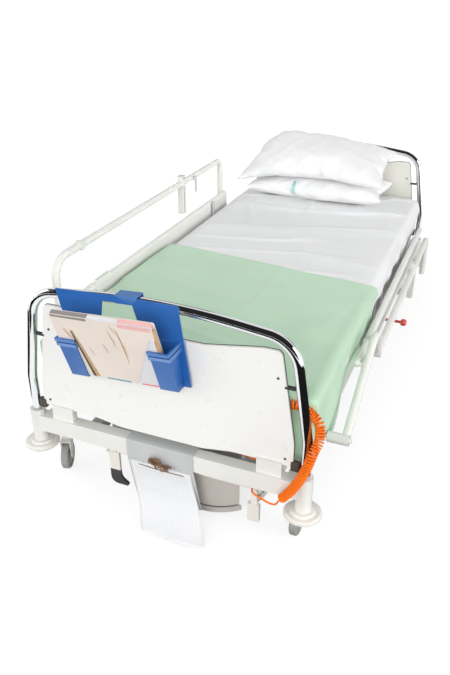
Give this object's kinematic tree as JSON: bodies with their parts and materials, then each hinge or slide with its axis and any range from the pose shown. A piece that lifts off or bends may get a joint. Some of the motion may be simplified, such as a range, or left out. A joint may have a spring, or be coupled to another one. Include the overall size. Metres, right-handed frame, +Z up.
{
  "type": "hospital bed",
  "caption": "Height-adjustable hospital bed on castors with folding side rails, chromed end boards, bedding, chart holder and curly orange cord.",
  "frame": {"origin": "on the floor, under the middle of the bed's frame", "axes": "+X to the bed's right side as seen from the foot end, +Y towards the head end, +Z up"},
  "size_m": [1.13, 2.2881, 0.8003],
  "materials": {
    "white_paint": "satin",
    "greige_plastic": "satin",
    "bare_steel": "satin",
    "pedal_plastic": "satin",
    "dark_rubber": "matt",
    "dark_plastic": "matt",
    "castor_plastic": "satin",
    "roller_plastic": "satin",
    "chrome_tube": "polished",
    "white_laminate": "satin",
    "cream_laminate": "satin",
    "fixing_plastic": "satin",
    "mattress_cover": "matt",
    "white_sheet": "matt",
    "pillowcase": "matt",
    "mint_blanket": "matt",
    "grey_metal": "satin",
    "red_knob": "satin",
    "box_plastic": "satin",
    "orange_cord": "satin",
    "blue_plastic": "gloss",
    "buff_card": "matt",
    "white_paper": "matt",
    "copper_wire": "satin"
  },
  "bodies": {
    "base": {"base_frame": "white_paint", "base_cover_foot": "greige_plastic", "base_cover_head": "greige_plastic", "column_outer": "white_paint"},
    "pedals": {"pedal_shaft": "pedal_plastic", "pedal_pad": "dark_rubber"},
    "lift_mid": {"column_mid": "bare_steel"},
    "upper": {"side_frame": "white_paint", "crossbar_foot": "white_paint", "crossbar_head": "white_paint", "column_inner": "bare_steel", "seat_deck": "bare_steel", "back_actuator": "dark_plastic", "mattress_seat": "mattress_cover", "mattress_bend": "mattress_cover", "sheet_seat": "white_sheet", "blanket": "mint_blanket", "control_box": "box_plastic", "curly_cord": "orange_cord"},
    "foot_board": {"foot_hoop": "chrome_tube", "foot_panel": "white_laminate", "foot_panel_fixings": "fixing_plastic"},
    "head_board": {"head_hoop": "chrome_tube", "head_panel": "cream_laminate", "head_panel_fixings": "fixing_plastic"},
    "backrest": {"back_deck": "bare_steel", "mattress_back": "mattress_cover", "sheet_back": "white_sheet", "pillow_lower": "pillowcase", "pillow_upper": "pillowcase"},
    "actuator_rod": {"back_actuator_rod": "bare_steel"},
    "chart_holder": {"chart_holder": "blue_plastic"},
    "folders": {"folders": "buff_card"},
    "chart_board": {"chart_board": "grey_metal", "papers": "white_paper"},
    "clip": {"spring_clip": "copper_wire"},
    "castor_foot_left": {"castor_fork_foot_left": "white_paint"},
    "wheel_foot_left": {"castor_wheel_foot_left": "castor_plastic"},
    "bumper_foot_left": {"bumper_roller_foot_left": "roller_plastic"},
    "castor_foot_right": {"castor_fork_foot_right": "white_paint"},
    "wheel_foot_right": {"castor_wheel_foot_right": "castor_plastic"},
    "bumper_foot_right": {"bumper_roller_foot_right": "roller_plastic"},
    "castor_head_left": {"castor_fork_head_left": "white_paint"},
    "wheel_head_left": {"castor_wheel_head_left": "castor_plastic"},
    "bumper_head_left": {"bumper_roller_head_left": "roller_plastic"},
    "castor_head_right": {"castor_fork_head_right": "white_paint"},
    "wheel_head_right": {"castor_wheel_head_right": "castor_plastic"},
    "bumper_head_right": {"bumper_roller_head_right": "roller_plastic"},
    "rail_arm_left": {"rail_arm_left": "white_paint"},
    "top_rail_left": {"top_rail_left": "white_paint"},
    "release_lever_left": {"release_lever_left": "grey_metal"},
    "lower_rail_left": {"lower_rail_left": "white_paint"},
    "rear_link_left": {"rear_link_left": "grey_metal"},
    "cpr_knob_left": {"cpr_knob_left": "red_knob"},
    "rail_arm_right": {"rail_arm_right": "white_paint"},
    "top_rail_right": {"top_rail_right": "white_paint"},
    "release_lever_right": {"release_lever_right": "grey_metal"},
    "lower_rail_right": {"lower_rail_right": "white_paint"},
    "rear_link_right": {"rear_link_right": "grey_metal"},
    "cpr_knob_right": {"cpr_knob_right": "red_knob"}
  },
  "joints": [
    {"name": "castor_swivel_foot_left", "type": "hinge", "parent": "base", "child": "castor_foot_left", "pos_m": [-0.43, -0.955, 0.12], "axis": [0, 0, 1], "continuous": true},
    {"name": "wheel_spin_foot_left", "type": "hinge", "parent": "castor_foot_left", "child": "wheel_foot_left", "pos_m": [-0.42042, -0.98131, 0.05], "axis": [0.9397, 0.342, 0], "continuous": true},
    {"name": "bumper_spin_foot_left", "type": "hinge", "parent": "upper", "child": "bumper_foot_left", "pos_m": [-0.4625, -1.05, 0.15], "axis": [0, 0, 1], "continuous": true},
    {"name": "castor_swivel_foot_right", "type": "hinge", "parent": "base", "child": "castor_foot_right", "pos_m": [0.43, -0.955, 0.12], "axis": [0, 0, 1], "continuous": true},
    {"name": "wheel_spin_foot_right", "type": "hinge", "parent": "castor_foot_right", "child": "wheel_foot_right", "pos_m": [0.43, -0.983, 0.05], "axis": [1, 0, 0], "continuous": true},
    {"name": "bumper_spin_foot_right", "type": "hinge", "parent": "upper", "child": "bumper_foot_right", "pos_m": [0.4625, -1.05, 0.15], "axis": [0, 0, 1], "continuous": true},
    {"name": "castor_swivel_head_left", "type": "hinge", "parent": "base", "child": "castor_head_left", "pos_m": [-0.43, 0.955, 0.12], "axis": [0, 0, 1], "continuous": true},
    {"name": "wheel_spin_head_left", "type": "hinge", "parent": "castor_head_left", "child": "wheel_head_left", "pos_m": [-0.416, 0.93075, 0.05], "axis": [0.866, 0.5, 0], "continuous": true},
    {"name": "bumper_spin_head_left", "type": "hinge", "parent": "upper", "child": "bumper_head_left", "pos_m": [-0.4625, 1.05, 0.15], "axis": [0, 0, 1], "continuous": true},
    {"name": "castor_swivel_head_right", "type": "hinge", "parent": "base", "child": "castor_head_right", "pos_m": [0.43, 0.955, 0.12], "axis": [0, 0, 1], "continuous": true},
    {"name": "wheel_spin_head_right", "type": "hinge", "parent": "castor_head_right", "child": "wheel_head_right", "pos_m": [0.41817, 0.92962, 0.05], "axis": [0.9063, -0.4226, 0], "continuous": true},
    {"name": "bumper_spin_head_right", "type": "hinge", "parent": "upper", "child": "bumper_head_right", "pos_m": [0.4625, 1.05, 0.15], "axis": [0, 0, 1], "continuous": true},
    {"name": "pedal_tilt", "type": "hinge", "parent": "base", "child": "pedals", "pos_m": [0.061, -1.04, 0.184], "axis": [1, 0, 0], "range_deg": [-12, 12]},
    {"name": "bed_lift", "type": "slide", "parent": "base", "child": "upper", "axis": [0, 0, 1], "range_m": [0, 0.34]},
    {"name": "column_stage", "type": "slide", "parent": "base", "child": "lift_mid", "axis": [0, 0, 1], "range_m": [0, 0.17]},
    {"name": "foot_board_lift_off", "type": "slide", "parent": "upper", "child": "foot_board", "axis": [0, 0, 1], "range_m": [0, 0.06]},
    {"name": "head_board_lift_off", "type": "slide", "parent": "upper", "child": "head_board", "axis": [0, 0, 1], "range_m": [0, 0.06]},
    {"name": "backrest_tilt", "type": "hinge", "parent": "upper", "child": "backrest", "pos_m": [0, 0.2, 0.366], "axis": [1, 0, 0], "range_deg": [0, 65], "deforming": ["mattress_bend"]},
    {"name": "actuator_stroke", "type": "slide", "parent": "upper", "child": "actuator_rod", "axis": [0, 1, 0], "range_m": [0, 0.06]},
    {"name": "chart_holder_lift_off", "type": "slide", "parent": "foot_board", "child": "chart_holder", "axis": [0, 0, 1], "range_m": [0, 0.03]},
    {"name": "folders_pull", "type": "slide", "parent": "chart_holder", "child": "folders", "axis": [-0.0584, -0.2924, 0.9545], "range_m": [0, 0.15]},
    {"name": "chart_board_lift_off", "type": "slide", "parent": "upper", "child": "chart_board", "axis": [0, 0, 1], "range_m": [0, 0.022]},
    {"name": "clip_squeeze", "type": "hinge", "parent": "chart_board", "child": "clip", "pos_m": [0.009, -1.084, 0.212], "axis": [1, 0, 0], "range_deg": [-10, 0], "stiffness_Nm_per_rad": 0.5},
    {"name": "rail_swing_left", "type": "hinge", "parent": "upper", "child": "rail_arm_left", "pos_m": [-0.52, -0.79, 0.25], "axis": [1, 0, 0], "range_deg": [-62, 0]},
    {"name": "top_rail_level_left", "type": "hinge", "parent": "rail_arm_left", "child": "top_rail_left", "pos_m": [-0.52, -0.63, 0.7], "axis": [1, 0, 0], "range_deg": [0, 62]},
    {"name": "lower_rail_level_left", "type": "hinge", "parent": "rail_arm_left", "child": "lower_rail_left", "pos_m": [-0.52, -0.79, 0.54], "axis": [1, 0, 0], "range_deg": [0, 62]},
    {"name": "rear_link_swing_left", "type": "hinge", "parent": "upper", "child": "rear_link_left", "pos_m": [-0.465, 0.45, 0.25], "axis": [1, 0, 0], "range_deg": [-62, 0]},
    {"name": "release_lever_pull_left", "type": "hinge", "parent": "top_rail_left", "child": "release_lever_left", "pos_m": [-0.503, 0.31, 0.7], "axis": [1, 0, 0], "range_deg": [0, 25], "stiffness_Nm_per_rad": 0.4},
    {"name": "cpr_knob_pull_left", "type": "slide", "parent": "upper", "child": "cpr_knob_left", "axis": [-1, 0, 0], "range_m": [0, 0.015], "stiffness_N_per_m": 400},
    {"name": "rail_swing_right", "type": "hinge", "parent": "upper", "child": "rail_arm_right", "pos_m": [0.52, -0.79, 0.25], "axis": [1, 0, 0], "range_deg": [0, 62]},
    {"name": "top_rail_level_right", "type": "hinge", "parent": "rail_arm_right", "child": "top_rail_right", "pos_m": [0.52, -0.31756, 0.31999], "axis": [1, 0, 0], "range_deg": [-62, 0]},
    {"name": "lower_rail_level_right", "type": "hinge", "parent": "rail_arm_right", "child": "lower_rail_right", "pos_m": [0.52, -0.53395, 0.38615], "axis": [1, 0, 0], "range_deg": [-62, 0]},
    {"name": "rear_link_swing_right", "type": "hinge", "parent": "upper", "child": "rear_link_right", "pos_m": [0.465, 0.45, 0.25], "axis": [1, 0, 0], "range_deg": [0, 62]},
    {"name": "release_lever_pull_right", "type": "hinge", "parent": "top_rail_right", "child": "release_lever_right", "pos_m": [0.503, 0.62244, 0.31999], "axis": [1, 0, 0], "range_deg": [0, 25], "stiffness_Nm_per_rad": 0.4},
    {"name": "cpr_knob_pull_right", "type": "slide", "parent": "upper", "child": "cpr_knob_right", "axis": [1, 0, 0], "range_m": [0, 0.015], "stiffness_N_per_m": 400}
  ],
  "couplings": [
    {"joint": "column_stage", "follows": "bed_lift", "ratio": 0.5},
    {"joint": "actuator_stroke", "follows": "backrest_tilt", "m_per_rad": 0.0525},
    {"joint": "top_rail_level_left", "follows": "rail_swing_left", "ratio": -1},
    {"joint": "lower_rail_level_left", "follows": "rail_swing_left", "ratio": -1},
    {"joint": "rear_link_swing_left", "follows": "rail_swing_left", "ratio": 1},
    {"joint": "top_rail_level_right", "follows": "rail_swing_right", "ratio": -1},
    {"joint": "lower_rail_level_right", "follows": "rail_swing_right", "ratio": -1},
    {"joint": "rear_link_swing_right", "follows": "rail_swing_right", "ratio": 1}
  ]
}
